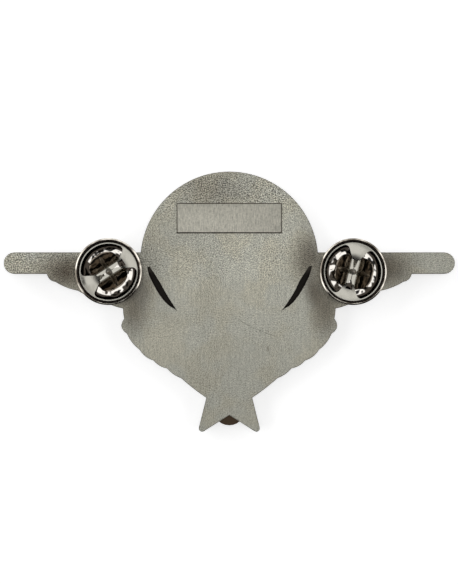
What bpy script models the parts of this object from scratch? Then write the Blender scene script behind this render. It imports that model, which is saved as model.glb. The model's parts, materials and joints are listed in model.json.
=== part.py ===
# Pilot wings badge lying on its face: struck plate, two tack posts and two butterfly clutches
import math

import bmesh
import bpy
from mathutils import Matrix, Vector

MM = 0.001

# Badge outline, measured from the dome's centre
WING_SPAN = 79.4 * MM
DOME_RADIUS = 15.65 * MM
WING_TOP_RISE = 1.44 * MM
WING_TIP_DEPTH = 3.81 * MM
FEATHER_STEP_REACH = 32.1 * MM
FEATHER_STEP_DEPTH = 1.4 * MM
FEATHER_STEP_RUN = 1.5 * MM
FEATHER_STEP_BULGE = 0.35 * MM
LOWER_FEATHERS = 4
LOWER_FEATHER_BULGE = 0.2 * MM
ARMPIT_REACH = 18.7 * MM
ARMPIT_DROP = 8.45 * MM
NECK_HALF_WIDTH = 4.05 * MM
NECK_DROP = 24.15 * MM
TAIL_HALF_WIDTH = 5.72 * MM
TAIL_DROP = 30.85 * MM
TAIL_TIP_RADIUS = 0.6 * MM
TAIL_NOTCH_DROP = 27.2 * MM

# Notches between the leaves on the lower edge: reach, drop and the bulge of the leaf before each
LEAF_NOTCHES = ((18.5, 10.2, 0.05), (18.0, 12.9, 0.75), (15.8, 15.7, 0.25), (13.35, 17.6, 0.3),
                (10.95, 19.0, 0.25), (8.5, 20.7, 0.2))
LAST_LEAF_BULGE = 0.1 * MM

# Plate, its edge break and the struck relief on its front
PLATE_THICKNESS = 1.6 * MM
EDGE_BREAK = 0.12 * MM
RELIEF_HEIGHT = 1.1 * MM
RELIEF_SINK = 0.3 * MM
LOW_RELIEF_HEIGHT = 0.85 * MM
RELIEF_SHOULDER = 0.45 * MM
RELIEF_BORDER = 0.32 * MM
SHIELD_BORDER = 1.75 * MM
SHIELD_SKIRT_ANGLE = math.radians(3.0)
SHIELD_APEX_RISE = 1.75 * MM
SHIELD_RIM_WIDTH = 1.0 * MM
SHIELD_FIELD_HEIGHT = 0.45 * MM
SHIELD_CROWN_HEIGHT = 0.95 * MM
SHIELD_CROWN_DROP = 3.7 * MM
FEATHER_ROOT_REACH = 16.2 * MM
FEATHER_VALLEY = 0.2 * MM
LEAF_LENGTH = 4.6 * MM
LEAF_WIDTH = 1.9 * MM
LEAF_SWEEP = math.radians(32.0)
LEAF_TOP_ANGLE = math.radians(2.0)
LEAF_LAND = 1.0 * MM
TAIL_CREASE = 0.35 * MM
DROP_HALF_WIDTH = 2.3 * MM
DROP_BELOW_NOTCH = 1.9 * MM
DROP_ABOVE_NOTCH = 1.6 * MM

# Deep blind slits in the back, beside the shield: how far along and how wide at each place
SLIT_LAND = 0.25 * MM
SLIT_START = 0.2 * MM
SLIT_LENGTH = 9.1 * MM
SLIT_DEPTH = 1.25 * MM
SLIT_WIDTHS = ((0.0, 0.42), (0.05, 0.72), (0.16, 1.0), (0.34, 1.2), (0.55, 1.28), (0.72, 1.16),
               (0.85, 0.86), (0.94, 0.42))

# Blank plaque on the back
PLAQUE_LENGTH = 18.2 * MM
PLAQUE_HEIGHT = 5.02 * MM
PLAQUE_THICKNESS = 0.35 * MM
PLAQUE_EDGE_BREAK = 0.06 * MM
PLAQUE_RISE = 7.43 * MM

# Tack posts
LEFT_POST_REACH = 21.05 * MM
RIGHT_POST_REACH = 21.6 * MM
POST_DROP = 2.0 * MM
POST_DIAMETER = 0.9 * MM
POST_LENGTH = 5.0 * MM
POST_FLANGE_DIAMETER = 3.2 * MM
POST_FLANGE_HEIGHT = 0.42 * MM
POST_FILLET = 0.3 * MM
POST_POINT_LENGTH = 1.3 * MM
POST_POINT_DIAMETER = 0.24 * MM
GROOVE_DEPTH = 0.13 * MM
GROOVE_WIDTH = 0.7 * MM

# Butterfly clutch: cup
CUP_DIAMETER = 11.65 * MM
CUP_SHEET = 0.35 * MM
CUP_CORNER_RADIUS = 0.5 * MM
CUP_SHOULDER_HEIGHT = 1.25 * MM
CUP_SHOULDER_WIDTH = 0.5 * MM
CUP_CURL_RADIUS = 0.2 * MM
CUP_CURL_ANGLE = math.radians(150.0)
CUP_WALL_ABOVE_SPRING = 0.2 * MM
NOZZLE_HEIGHT = 0.65 * MM
NOZZLE_FLARE = 0.45 * MM

# Butterfly clutch: spring plate and ears
SPRING_SHEET = 0.3 * MM
FAN_ANGLE = math.radians(60.0)
OPENING_RADIUS = 4.6 * MM
OPENING_CORNER = 0.55 * MM
TONGUE_LENGTH = 1.35 * MM
TONGUE_ROOT_WIDTH = 0.76 * MM
TONGUE_TIP_WIDTH = 0.24 * MM
FORK_DEPTH = 0.85 * MM
FORK_BASE_WIDTH = 1.3 * MM
FORK_MOUTH_WIDTH = 0.9 * MM
JAW_LENGTH = 4.3 * MM
JAW_SLOT_WIDTH = 0.2 * MM
JAW_FLARE_START = 1.4 * MM
EAR_WIDTH = 5.5 * MM
EAR_LENGTH = 3.55 * MM
EAR_WIDEST = 1.0 * MM
EAR_END_CUT = 0.05 * MM
EAR_BEND_RADIUS = 0.5 * MM
EAR_ELEVATION = math.radians(50.0)
EAR_END_POWER = 2.4
LEFT_CLUTCH_TURN = math.radians(-57.0)
RIGHT_CLUTCH_TURN = math.radians(166.0)

# Clearances
SEAT_GAP = 0.05 * MM
RUN_GAP = 0.1 * MM
POST_CLEARANCE = 0.17 * MM
JAW_CLEARANCE = 0.08 * MM
EAR_GAP = 0.08 * MM
EAR_END_GAP = 0.15 * MM

# Finishes: colour and roughness of each metal
SATIN_PEWTER = ((0.31, 0.30, 0.27), 0.42)
BRUSHED_PEWTER = ((0.34, 0.33, 0.29), 0.38)
PLATED_STEEL = ((0.55, 0.54, 0.52), 0.25)
BRIGHT_NICKEL = ((0.66, 0.63, 0.60), 0.12)

# Facets
DOME_STEPS = 24
SHIELD_CROWN_RINGS = 4
SMALL_ARC_STEPS = 5
CUP_STEPS = 36
CUP_CORNER_STEPS = 3
POST_STEPS = 16
EAR_COLUMNS = 12
EAR_COLUMN_POWER = 1.6
EAR_BEND_STEPS = 3
EAR_END_STEPS = 5
LONGEST_MITRE = 2.85
SMOOTH_ANGLE = math.radians(35.0)
MERGE_DISTANCE = 1e-7

# Levels and places that follow from the sizes above
BACK_LEVEL = PLATE_THICKNESS + RELIEF_HEIGHT
POST_RADIUS = POST_DIAMETER / 2
CUP_SEAT = SEAT_GAP + POST_FLANGE_HEIGHT + RUN_GAP
SPRING_LEVEL = CUP_SHOULDER_HEIGHT + CUP_SHEET / 2 + RUN_GAP + SPRING_SHEET / 2
HINGE_REACH = POST_RADIUS + POST_CLEARANCE
FAN_NECK = HINGE_REACH + EAR_GAP
FAN_EDGE = JAW_LENGTH / 2 + EAR_END_GAP
TONGUE_TIP = FAN_EDGE - TONGUE_LENGTH


def clear_scene():
    for obj in list(bpy.data.objects):
        bpy.data.objects.remove(obj, do_unlink=True)


def make_material(name, finish):
    color, roughness = finish
    material = bpy.data.materials.new(name)
    material.use_nodes = True
    shader = material.node_tree.nodes["Principled BSDF"]
    shader.inputs["Base Color"].default_value = (*color, 1.0)
    shader.inputs["Metallic"].default_value = 1.0
    shader.inputs["Roughness"].default_value = roughness
    return material


def make_empty(name, location, parent=None):
    empty = bpy.data.objects.new(name, None)
    bpy.context.collection.objects.link(empty)
    empty.location = location
    empty.parent = parent
    return empty


def make_object(name, bm, finish, parent, location=(0, 0, 0), turn=0.0):
    bmesh.ops.recalc_face_normals(bm, faces=bm.faces)
    mesh = bpy.data.meshes.new(name)
    bm.to_mesh(mesh)
    bm.free()
    mesh.materials.append(make_material(name + "_finish", finish))
    mesh.shade_smooth()
    mesh.set_sharp_from_angle(angle=SMOOTH_ANGLE)
    obj = bpy.data.objects.new(name, mesh)
    bpy.context.collection.objects.link(obj)
    obj.parent = parent
    obj.location = location
    obj.rotation_euler.z = turn
    return obj


def make_cutter(name, bm, finish, parent):
    obj = make_object(name, bm, finish, parent)
    obj.hide_render = True
    obj.display_type = "WIRE"
    return obj


def arc(centre, radius, start, end, steps):
    points = []
    for i in range(steps + 1):
        angle = start + (end - start) * i / steps
        points.append(centre + Vector((math.cos(angle), math.sin(angle))) * radius)
    return points


def bulged(start, end, bulge, steps):
    # An arc from start to end, bowed to the left of the way it runs
    chord = end - start
    side = Vector((-chord.y, chord.x)).normalized()
    points = []
    for i in range(steps):
        t = i / steps
        points.append(start + chord * t + side * (bulge * 4 * t * (1 - t)))
    return points


def rounded_corner(before, corner, after, radius, steps):
    # The arc that replaces a corner between two straight edges
    to_before = (before - corner).normalized()
    to_after = (after - corner).normalized()
    half = to_before.angle(to_after) / 2
    centre = corner + (to_before + to_after).normalized() * (radius / math.sin(half))
    first = corner + to_before * (radius / math.tan(half)) - centre
    last = corner + to_after * (radius / math.tan(half)) - centre
    sweep = first.angle_signed(last)
    return [centre + Matrix.Rotation(-sweep * i / steps, 2) @ first for i in range(steps + 1)]


def inset(points, distance):
    # The same closed outline moved inwards, for an outline that runs clockwise
    moved = []
    for i, point in enumerate(points):
        before = (point - points[i - 1]).normalized()
        after = (points[(i + 1) % len(points)] - point).normalized()
        normal = Vector((before.y, -before.x)) + Vector((after.y, -after.x))
        normal.normalize()
        mitre = min(LONGEST_MITRE, 1 / normal.dot(Vector((after.y, -after.x))))
        moved.append(point + normal * (distance * mitre))
    return moved


def mirrored(points):
    return [Vector((-p.x, p.y)) for p in reversed(points)]


def add_loft(bm, rings):
    # A closed solid through rings of as many points each, given as outline and level
    loops = [[bm.verts.new((p.x, p.y, z)) for p in outline] for outline, z in rings]
    for low, high in zip(loops, loops[1:]):
        for i in range(len(low)):
            j = (i + 1) % len(low)
            bm.faces.new((low[i], low[j], high[j], high[i]))
    bm.faces.new(loops[0])
    bm.faces.new(loops[-1])


def add_raised_form(bm, outline, height):
    # A form on the plate's front with upright sides and a bevelled top
    front = -PLATE_THICKNESS
    add_loft(bm, [(outline, front + RELIEF_SINK),
                  (outline, front - min(RELIEF_SHOULDER, height / 2)),
                  (inset(outline, RELIEF_BORDER), front - height)])


def add_turned(bm, profile, steps):
    # A closed profile of radius and level, turned about the upright axis
    verts = [bm.verts.new((p.x, 0, p.y)) for p in profile]
    edges = [bm.edges.new((verts[i - 1], verts[i])) for i in range(len(verts))]
    bmesh.ops.spin(bm, geom=edges, cent=(0, 0, 0), axis=(0, 0, 1), angle=math.tau,
                   steps=steps, use_merge=True)
    bmesh.ops.remove_doubles(bm, verts=bm.verts, dist=MERGE_DISTANCE)
    bmesh.ops.dissolve_degenerate(bm, edges=bm.edges, dist=MERGE_DISTANCE)


def wing_tip_bottom():
    return WING_TOP_RISE - WING_TIP_DEPTH


def lower_feather_nodes():
    # Where the steps between the lower feathers meet the wing's lower edge, from the tip inwards
    nodes = [Vector((FEATHER_STEP_REACH, wing_tip_bottom()))]
    step = nodes[0] - Vector((FEATHER_STEP_RUN, FEATHER_STEP_DEPTH))
    armpit = Vector((ARMPIT_REACH, -ARMPIT_DROP))
    for i in range(LOWER_FEATHERS):
        nodes.append(step.lerp(armpit, i / (LOWER_FEATHERS - 1)))
    return nodes


def leaf_nodes():
    # The notches along the lower edge, from the armpit to the neck, and the bulge before each
    nodes = [Vector((ARMPIT_REACH, -ARMPIT_DROP))]
    bulges = []
    for reach, drop, bulge in LEAF_NOTCHES:
        nodes.append(Vector((reach * MM, -drop * MM)))
        bulges.append(bulge * MM)
    nodes.append(Vector((NECK_HALF_WIDTH, -NECK_DROP)))
    bulges.append(LAST_LEAF_BULGE)
    return nodes, bulges


def right_half_outline():
    # From the dome's top clockwise to the notch in the tail
    wing_angle = math.asin(WING_TOP_RISE / DOME_RADIUS)
    points = arc(Vector((0, 0)), DOME_RADIUS, math.pi / 2, wing_angle, DOME_STEPS)
    tip_radius = WING_TIP_DEPTH / 2
    tip_centre = Vector((WING_SPAN / 2 - tip_radius, WING_TOP_RISE - tip_radius))
    points += arc(tip_centre, tip_radius, math.pi / 2, -math.pi / 2, 2 * SMALL_ARC_STEPS)
    feathers = lower_feather_nodes()
    points += bulged(feathers[0], feathers[1], FEATHER_STEP_BULGE, SMALL_ARC_STEPS)
    for start, end in zip(feathers[1:], feathers[2:]):
        points += bulged(start, end, LOWER_FEATHER_BULGE, SMALL_ARC_STEPS)
    nodes, bulges = leaf_nodes()
    for start, end, bulge in zip(nodes, nodes[1:], bulges):
        points += bulged(start, end, bulge, SMALL_ARC_STEPS)
    neck = nodes[-1]
    tail_tip = Vector((TAIL_HALF_WIDTH, -TAIL_DROP))
    notch = Vector((0, -TAIL_NOTCH_DROP))
    points.append(neck)
    points += rounded_corner(neck, tail_tip, notch, TAIL_TIP_RADIUS, SMALL_ARC_STEPS)
    points.append(notch)
    return points


def badge_outline():
    right = right_half_outline()
    return right + mirrored(right[1:-1])


def shield_sides():
    # The shield's right skirt corner and its apex above the tail
    radius = DOME_RADIUS - SHIELD_BORDER
    corner = Vector((math.cos(SHIELD_SKIRT_ANGLE), -math.sin(SHIELD_SKIRT_ANGLE))) * radius
    apex = Vector((0, -NECK_DROP + SHIELD_APEX_RISE))
    return corner, apex


def shield_outline():
    radius = DOME_RADIUS - SHIELD_BORDER
    right = arc(Vector((0, 0)), radius, math.pi / 2, -SHIELD_SKIRT_ANGLE, DOME_STEPS // 2)
    right.append(shield_sides()[1])
    return right + mirrored(right[1:-1])


def add_shield(bm):
    # A plain domed field inside a flat rim
    outline = shield_outline()
    front = -PLATE_THICKNESS
    rim_out = inset(outline, RELIEF_BORDER)
    rim_in = inset(outline, RELIEF_BORDER + SHIELD_RIM_WIDTH)
    field = inset(outline, 2 * RELIEF_BORDER + SHIELD_RIM_WIDTH)
    rings = [(outline, front + RELIEF_SINK),
             (outline, front - RELIEF_SHOULDER),
             (rim_out, front - RELIEF_HEIGHT),
             (rim_in, front - RELIEF_HEIGHT),
             (field, front - SHIELD_FIELD_HEIGHT)]
    crown_rise = SHIELD_CROWN_HEIGHT - SHIELD_FIELD_HEIGHT
    middle = Vector((0, -SHIELD_CROWN_DROP))
    for i in range(SHIELD_CROWN_RINGS - 1, 0, -1):
        share = i / SHIELD_CROWN_RINGS
        ring = [middle.lerp(p, share) for p in field]
        rings.append((ring, front - SHIELD_FIELD_HEIGHT - crown_rise * (1 - share ** 2)))
    add_loft(bm, rings)


def feather_bands():
    # Top and bottom of each feather and the reach of its straight part, from the leading edge down
    middle = WING_TOP_RISE - WING_TIP_DEPTH / 2
    tip = WING_SPAN / 2 - WING_TIP_DEPTH / 2
    nodes = lower_feather_nodes()
    bands = [(WING_TOP_RISE, middle, tip), (middle, wing_tip_bottom(), tip)]
    for upper, lower in zip(nodes, nodes[1:]):
        bands.append((upper.y, lower.y, lower.x - RELIEF_BORDER))
    return bands


def feather_outline(top, bottom, reach):
    # A bar with a round outer end, running clockwise
    top -= FEATHER_VALLEY / 2
    bottom += FEATHER_VALLEY / 2
    radius = (top - bottom) / 2
    end = Vector((reach, bottom + radius))
    points = [Vector((FEATHER_ROOT_REACH, bottom)), Vector((FEATHER_ROOT_REACH, top))]
    return points + arc(end, radius, math.pi / 2, -math.pi / 2, SMALL_ARC_STEPS)


def leaf_outline(tip, direction, length):
    # A pointed oval of two arcs, running clockwise from its base to its tip and back
    base = tip - direction * length
    bulge = LEAF_WIDTH / 2
    return (bulged(base, tip, bulge, SMALL_ARC_STEPS) + bulged(tip, base, bulge, SMALL_ARC_STEPS))


def leaf_forms():
    # One leaf for each scallop of the lower edge, swept up towards the wing
    corner, apex = shield_sides()
    side = (apex - corner).normalized()
    outwards = Vector((-side.y, side.x))
    nodes = leaf_nodes()[0]
    outlines = []
    for start, end in zip(nodes[1:], nodes[2:]):
        run = end - start
        angle = min(math.atan2(run.x, -run.y) + LEAF_SWEEP, LEAF_TOP_ANGLE)
        direction = Vector((math.cos(angle), math.sin(angle)))
        tip = start.lerp(end, 0.5) - direction * RELIEF_BORDER
        room = (tip - corner).dot(outwards) / direction.dot(outwards) - LEAF_LAND
        outlines.append(leaf_outline(tip, direction, min(LEAF_LENGTH, room)))
    return outlines


def tail_outline():
    # The right ribbon end, running clockwise
    neck = Vector((NECK_HALF_WIDTH, -NECK_DROP))
    tip = Vector((TAIL_HALF_WIDTH, -TAIL_DROP))
    notch = Vector((0, -TAIL_NOTCH_DROP))
    fold = Vector((0, -NECK_DROP))
    crease = Vector((TAIL_CREASE, 0))
    edge = [fold + crease, neck, *rounded_corner(neck, tip, notch, TAIL_TIP_RADIUS, SMALL_ARC_STEPS),
            notch + crease]
    return inset(edge, RELIEF_BORDER)


def drop_outline():
    # The rounded drop between the ribbon ends, seen from the back through the notch
    top = -TAIL_NOTCH_DROP + DROP_ABOVE_NOTCH
    height = DROP_ABOVE_NOTCH + DROP_BELOW_NOTCH
    centre = Vector((0, top - height / 2))
    points = []
    for p in arc(Vector((0, 0)), 1.0, math.pi / 2, -3 * math.pi / 2, 4 * SMALL_ARC_STEPS)[:-1]:
        points.append(centre + Vector((p.x * DROP_HALF_WIDTH, p.y * height / 2)))
    return points


def make_front_relief(finish, parent):
    bm = bmesh.new()
    add_shield(bm)
    forms = [feather_outline(*band) for band in feather_bands()]
    forms += leaf_forms()
    forms.append(tail_outline())
    for outline in forms:
        add_raised_form(bm, outline, LOW_RELIEF_HEIGHT)
        add_raised_form(bm, mirrored(outline), LOW_RELIEF_HEIGHT)
    return make_cutter("front_relief", bm, finish, parent)


def make_tail_drop(finish, parent):
    bm = bmesh.new()
    add_raised_form(bm, drop_outline(), RELIEF_HEIGHT)
    return make_cutter("tail_drop", bm, finish, parent)


def slit_outline():
    # Straight beside the shield, blunt at its upper end, bowed outwards and pointed below
    corner, apex = shield_sides()
    along = (apex - corner).normalized()
    outwards = Vector((-along.y, along.x))
    start = corner + outwards * SLIT_LAND + along * SLIT_START
    points = [start]
    for share, width in SLIT_WIDTHS:
        points.append(start + along * (SLIT_LENGTH * share) + outwards * (width * MM))
    points.append(start + along * SLIT_LENGTH)
    return points


def make_slit_cutter(finish, parent):
    bm = bmesh.new()
    for outline in (slit_outline(), mirrored(slit_outline())):
        add_loft(bm, [(outline, EDGE_BREAK), (outline, -SLIT_DEPTH)])
    return make_cutter("slit_cutter", bm, finish, parent)


def make_badge_plate(finish, parent):
    outline = badge_outline()
    bm = bmesh.new()
    add_loft(bm, [(inset(outline, EDGE_BREAK), 0.0),
                  (outline, -EDGE_BREAK),
                  (outline, -PLATE_THICKNESS)])
    plate = make_object("badge_plate", bm, finish, parent)
    for operation, solver, operand in (("UNION", "EXACT", make_front_relief(finish, parent)),
                                       ("UNION", "MANIFOLD", make_tail_drop(finish, parent)),
                                       ("DIFFERENCE", "EXACT", make_slit_cutter(finish, parent))):
        boolean = plate.modifiers.new(operand.name, "BOOLEAN")
        boolean.operation = operation
        boolean.object = operand
        boolean.solver = solver
    return plate


def make_back_plaque(finish, parent):
    half = Vector((PLAQUE_LENGTH / 2, PLAQUE_HEIGHT / 2))
    outline = [Vector((-half.x, half.y)), half, Vector((half.x, -half.y)), -half]
    bm = bmesh.new()
    top = SEAT_GAP + PLAQUE_THICKNESS
    add_loft(bm, [(outline, SEAT_GAP),
                  (outline, top - PLAQUE_EDGE_BREAK),
                  (inset(outline, PLAQUE_EDGE_BREAK), top)])
    return make_object("back_plaque", bm, finish, parent, (0, PLAQUE_RISE, 0))


def post_profile():
    # Radius and level above the plate's back, from the base to the point
    flange = POST_FLANGE_DIAMETER / 2
    base = SEAT_GAP
    shelf = base + POST_FLANGE_HEIGHT
    groove = CUP_SEAT + SPRING_LEVEL
    waist = POST_RADIUS - GROOVE_DEPTH
    half_groove = GROOVE_WIDTH / 2
    pairs = [(0, base), (flange, base), (flange, shelf - POST_FILLET / 2),
             (flange - POST_FILLET / 2, shelf), (POST_RADIUS + POST_FILLET, shelf),
             (POST_RADIUS, shelf + POST_FILLET), (POST_RADIUS, groove - half_groove),
             (waist, groove - half_groove + GROOVE_DEPTH), (waist, groove + half_groove - GROOVE_DEPTH),
             (POST_RADIUS, groove + half_groove), (POST_RADIUS, POST_LENGTH - POST_POINT_LENGTH),
             (POST_POINT_DIAMETER / 2, POST_LENGTH), (0, POST_LENGTH)]
    return [Vector(pair) for pair in pairs]


def make_post(name, finish, parent):
    bm = bmesh.new()
    add_turned(bm, post_profile(), POST_STEPS)
    return make_object(name, bm, finish, parent)


def cup_middle_line():
    # Middle of the cup's sheet as radius and level, from the pin hole to the rolled edge
    half = CUP_SHEET / 2
    wall = CUP_DIAMETER / 2 - half
    inner_wall = wall - CUP_SHOULDER_WIDTH
    corner = CUP_CORNER_RADIUS
    hole = POST_RADIUS + POST_CLEARANCE + half
    shoulder = CUP_SHOULDER_HEIGHT
    curl_level = SPRING_LEVEL + SPRING_SHEET / 2 + CUP_WALL_ABOVE_SPRING
    curl_centre = Vector((wall - CUP_CURL_RADIUS, curl_level))
    nozzle = [(hole, NOZZLE_HEIGHT + half), (hole + half, NOZZLE_HEIGHT / 2 + half),
              (hole + half + NOZZLE_FLARE, half)]
    step = [(inner_wall, shoulder - half), (inner_wall + half, shoulder), (wall - half, shoulder),
            (wall, shoulder + half)]
    line = [Vector(pair) for pair in nozzle]
    line += arc(Vector((inner_wall - corner, half + corner)), corner, -math.pi / 2, 0, CUP_CORNER_STEPS)
    line += [Vector(pair) for pair in step]
    line += arc(curl_centre, CUP_CURL_RADIUS, 0, CUP_CURL_ANGLE, SMALL_ARC_STEPS)
    return line


def sheet_loop(line, thickness):
    # A closed profile of even thickness around an open middle line
    left, right = [], []
    for i, point in enumerate(line):
        before = point - line[i - 1] if i else line[1] - point
        after = line[i + 1] - point if i + 1 < len(line) else before
        normal_before = Vector((-before.y, before.x)).normalized()
        normal_after = Vector((-after.y, after.x)).normalized()
        normal = (normal_before + normal_after).normalized()
        reach = thickness / 2 / normal.dot(normal_after)
        left.append(point + normal * reach)
        right.append(point - normal * reach)
    return left + right[::-1]


def make_cup(name, finish, parent):
    bm = bmesh.new()
    add_turned(bm, sheet_loop(cup_middle_line(), CUP_SHEET), CUP_STEPS)
    return make_object(name, bm, finish, parent)


def spring_opening():
    # One loop round both D openings, the tongue between the jaws and the fork at the other end
    neck = Vector((FAN_NECK, FAN_EDGE))
    along = Vector((math.cos(FAN_ANGLE), math.sin(FAN_ANGLE)))
    within = Vector((along.y, -along.x))
    start = neck + within * OPENING_CORNER
    reach = OPENING_RADIUS - OPENING_CORNER
    travel = -start.dot(along) + math.sqrt(start.dot(along) ** 2 - start.dot(start) + reach ** 2)
    centre = start + along * travel
    first = math.atan2(-within.y, -within.x)
    last = math.atan2(centre.y, centre.x)
    upper = [neck] + arc(centre, OPENING_CORNER, first, last, SMALL_ARC_STEPS)
    outer = arc(Vector((0, 0)), OPENING_RADIUS, last, -last, 2 * SMALL_ARC_STEPS)
    lower = [Vector((p.x, -p.y)) for p in reversed(upper)]
    fork = [Vector((FORK_BASE_WIDTH / 2, FAN_EDGE + FORK_DEPTH)), Vector((FORK_MOUTH_WIDTH / 2, FAN_EDGE))]
    tongue = [Vector((TONGUE_ROOT_WIDTH / 2, -FAN_EDGE)), Vector((TONGUE_TIP_WIDTH / 2, -TONGUE_TIP))]
    right = fork + upper + outer[1:-1] + lower + tongue
    return right + mirrored(right)


def make_spring_plate(name, finish, parent, turn):
    outer_radius = CUP_DIAMETER / 2 - CUP_SHEET - RUN_GAP
    rim = arc(Vector((0, 0)), outer_radius, 0, math.tau, CUP_STEPS)[:-1]
    bm = bmesh.new()
    edges = []
    for loop in (rim, spring_opening()):
        verts = [bm.verts.new((p.x, p.y, -SPRING_SHEET / 2)) for p in loop]
        edges += [bm.edges.new((verts[i - 1], verts[i])) for i in range(len(verts))]
    bmesh.ops.triangle_fill(bm, edges=edges, use_beauty=True, use_dissolve=False)
    extruded = bmesh.ops.extrude_face_region(bm, geom=bm.faces[:], use_keep_orig=True)
    raised = [item for item in extruded["geom"] if isinstance(item, bmesh.types.BMVert)]
    bmesh.ops.translate(bm, verts=raised, vec=(0, 0, SPRING_SHEET))
    return make_object(name, bm, finish, parent, (0, 0, SPRING_LEVEL), turn)


def jaw_edge(along):
    # How far a jaw's edge lies from the band's middle line: it parts at the fork and clears tongue and post
    edge = JAW_SLOT_WIDTH / 2
    if along > JAW_FLARE_START:
        share = (along - JAW_FLARE_START) / (FAN_EDGE - JAW_FLARE_START)
        edge += (FORK_MOUTH_WIDTH - JAW_SLOT_WIDTH) / 2 * share
    if along < EAR_GAP - TONGUE_TIP:
        share = max(0.0, (-along - TONGUE_TIP) / TONGUE_LENGTH)
        edge = EAR_GAP + (TONGUE_TIP_WIDTH + (TONGUE_ROOT_WIDTH - TONGUE_TIP_WIDTH) * share) / 2
    notch = POST_RADIUS + JAW_CLEARANCE
    if abs(along) < notch:
        edge = max(edge, math.sqrt(notch ** 2 - along ** 2))
    return edge


def ear_section(distance):
    # Place and upward normal on the ear's middle section, at a distance from its hinge line along the sheet
    bend = min(distance / EAR_BEND_RADIUS, EAR_ELEVATION)
    place = Vector((math.sin(bend), 1 - math.cos(bend))) * EAR_BEND_RADIUS
    straight = max(0.0, distance - EAR_ELEVATION * EAR_BEND_RADIUS)
    place += Vector((math.cos(bend), math.sin(bend))) * straight
    return place, Vector((-math.sin(bend), math.cos(bend)))


def ear_half_width(distance):
    # As long as the jaw at the hinge line, swelling to the widest place and closing in a round end
    if distance < EAR_WIDEST:
        share = math.sin(distance / EAR_WIDEST * math.pi / 2)
        return (JAW_LENGTH + (EAR_WIDTH - JAW_LENGTH) * share) / 2
    rest = (distance - EAR_WIDEST) / (EAR_LENGTH - EAR_WIDEST)
    return EAR_WIDTH / 2 * (1 - rest ** EAR_END_POWER) ** (1 / EAR_END_POWER)


def ear_stations():
    # Distances along the sheet from the hinge line: the bend, then closer rows towards the round end
    bend_length = EAR_ELEVATION * EAR_BEND_RADIUS
    free_length = EAR_LENGTH - EAR_END_CUT - bend_length
    stations = [bend_length * i / EAR_BEND_STEPS for i in range(EAR_BEND_STEPS + 1)]
    for i in range(1, EAR_END_STEPS + 1):
        stations.append(bend_length + free_length * math.sin(i / EAR_END_STEPS * math.pi / 2))
    return stations


def ear_columns():
    # Shares of the half width, closer together beside the post
    shares = []
    for i in range(EAR_COLUMNS + 1):
        share = 2 * i / EAR_COLUMNS - 1
        shares.append(math.copysign(abs(share) ** EAR_COLUMN_POWER, share))
    return shares


def ear_sheet(level):
    # Rows of points on one face of the ear: the jaw's edge, then every station outwards
    across = [JAW_LENGTH / 2 * share for share in ear_columns()]
    rows = [[Vector((jaw_edge(y) - HINGE_REACH, y, level)) for y in across]]
    for distance in ear_stations():
        place, normal = ear_section(distance)
        point = place + normal * level
        half_width = ear_half_width(distance)
        rows.append([Vector((point.x, half_width * share, point.y)) for share in ear_columns()])
    return rows


def make_ear(name, finish, spring_plate, side):
    bm = bmesh.new()
    sheets = []
    for level in (SPRING_SHEET / 2, -SPRING_SHEET / 2):
        rows = ear_sheet(level)
        sheets.append([[bm.verts.new((p.x * side, p.y, p.z)) for p in row] for row in rows])
    top, under = sheets
    last = len(top) - 1
    for sheet in sheets:
        for r in range(last):
            for c in range(EAR_COLUMNS):
                bm.faces.new((sheet[r][c], sheet[r][c + 1], sheet[r + 1][c + 1], sheet[r + 1][c]))
    for r in range(last):
        for c in (0, EAR_COLUMNS):
            bm.faces.new((top[r][c], top[r + 1][c], under[r + 1][c], under[r][c]))
    for c in range(EAR_COLUMNS):
        for r in (0, last):
            bm.faces.new((top[r][c], top[r][c + 1], under[r][c + 1], under[r][c]))
    return make_object(name, bm, finish, spring_plate, (side * HINGE_REACH, 0, 0))


def make_clutch(side_name, finish, post_axis, turn):
    # The clutch's own frame is on the post's axis, at the cup's underside
    axis = make_empty(side_name + "_clutch_axis", (0, 0, CUP_SEAT), post_axis)
    make_cup(side_name + "_clutch_cup", finish, axis)
    spring = make_spring_plate(side_name + "_clutch_spring_plate", finish, axis, turn)
    make_ear(side_name + "_clutch_inner_ear", finish, spring, 1)
    make_ear(side_name + "_clutch_outer_ear", finish, spring, -1)


def main():
    clear_scene()
    lowest = min(point.y for point in badge_outline())
    datum = make_empty("badge_datum", (0, -(DOME_RADIUS + lowest) / 2, BACK_LEVEL))
    make_badge_plate(SATIN_PEWTER, datum)
    make_back_plaque(BRUSHED_PEWTER, datum)
    for side_name, reach, turn in (("left", -LEFT_POST_REACH, LEFT_CLUTCH_TURN),
                                   ("right", RIGHT_POST_REACH, RIGHT_CLUTCH_TURN)):
        post_axis = make_empty(side_name + "_post_axis", (reach, -POST_DROP, 0), datum)
        make_post(side_name + "_post", PLATED_STEEL, post_axis)
        make_clutch(side_name, BRIGHT_NICKEL, post_axis, turn)


main()
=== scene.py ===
import json
import math

import bmesh
import bpy
from mathutils import Matrix, Vector
from mathutils.geometry import delaunay_2d_cdt


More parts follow.
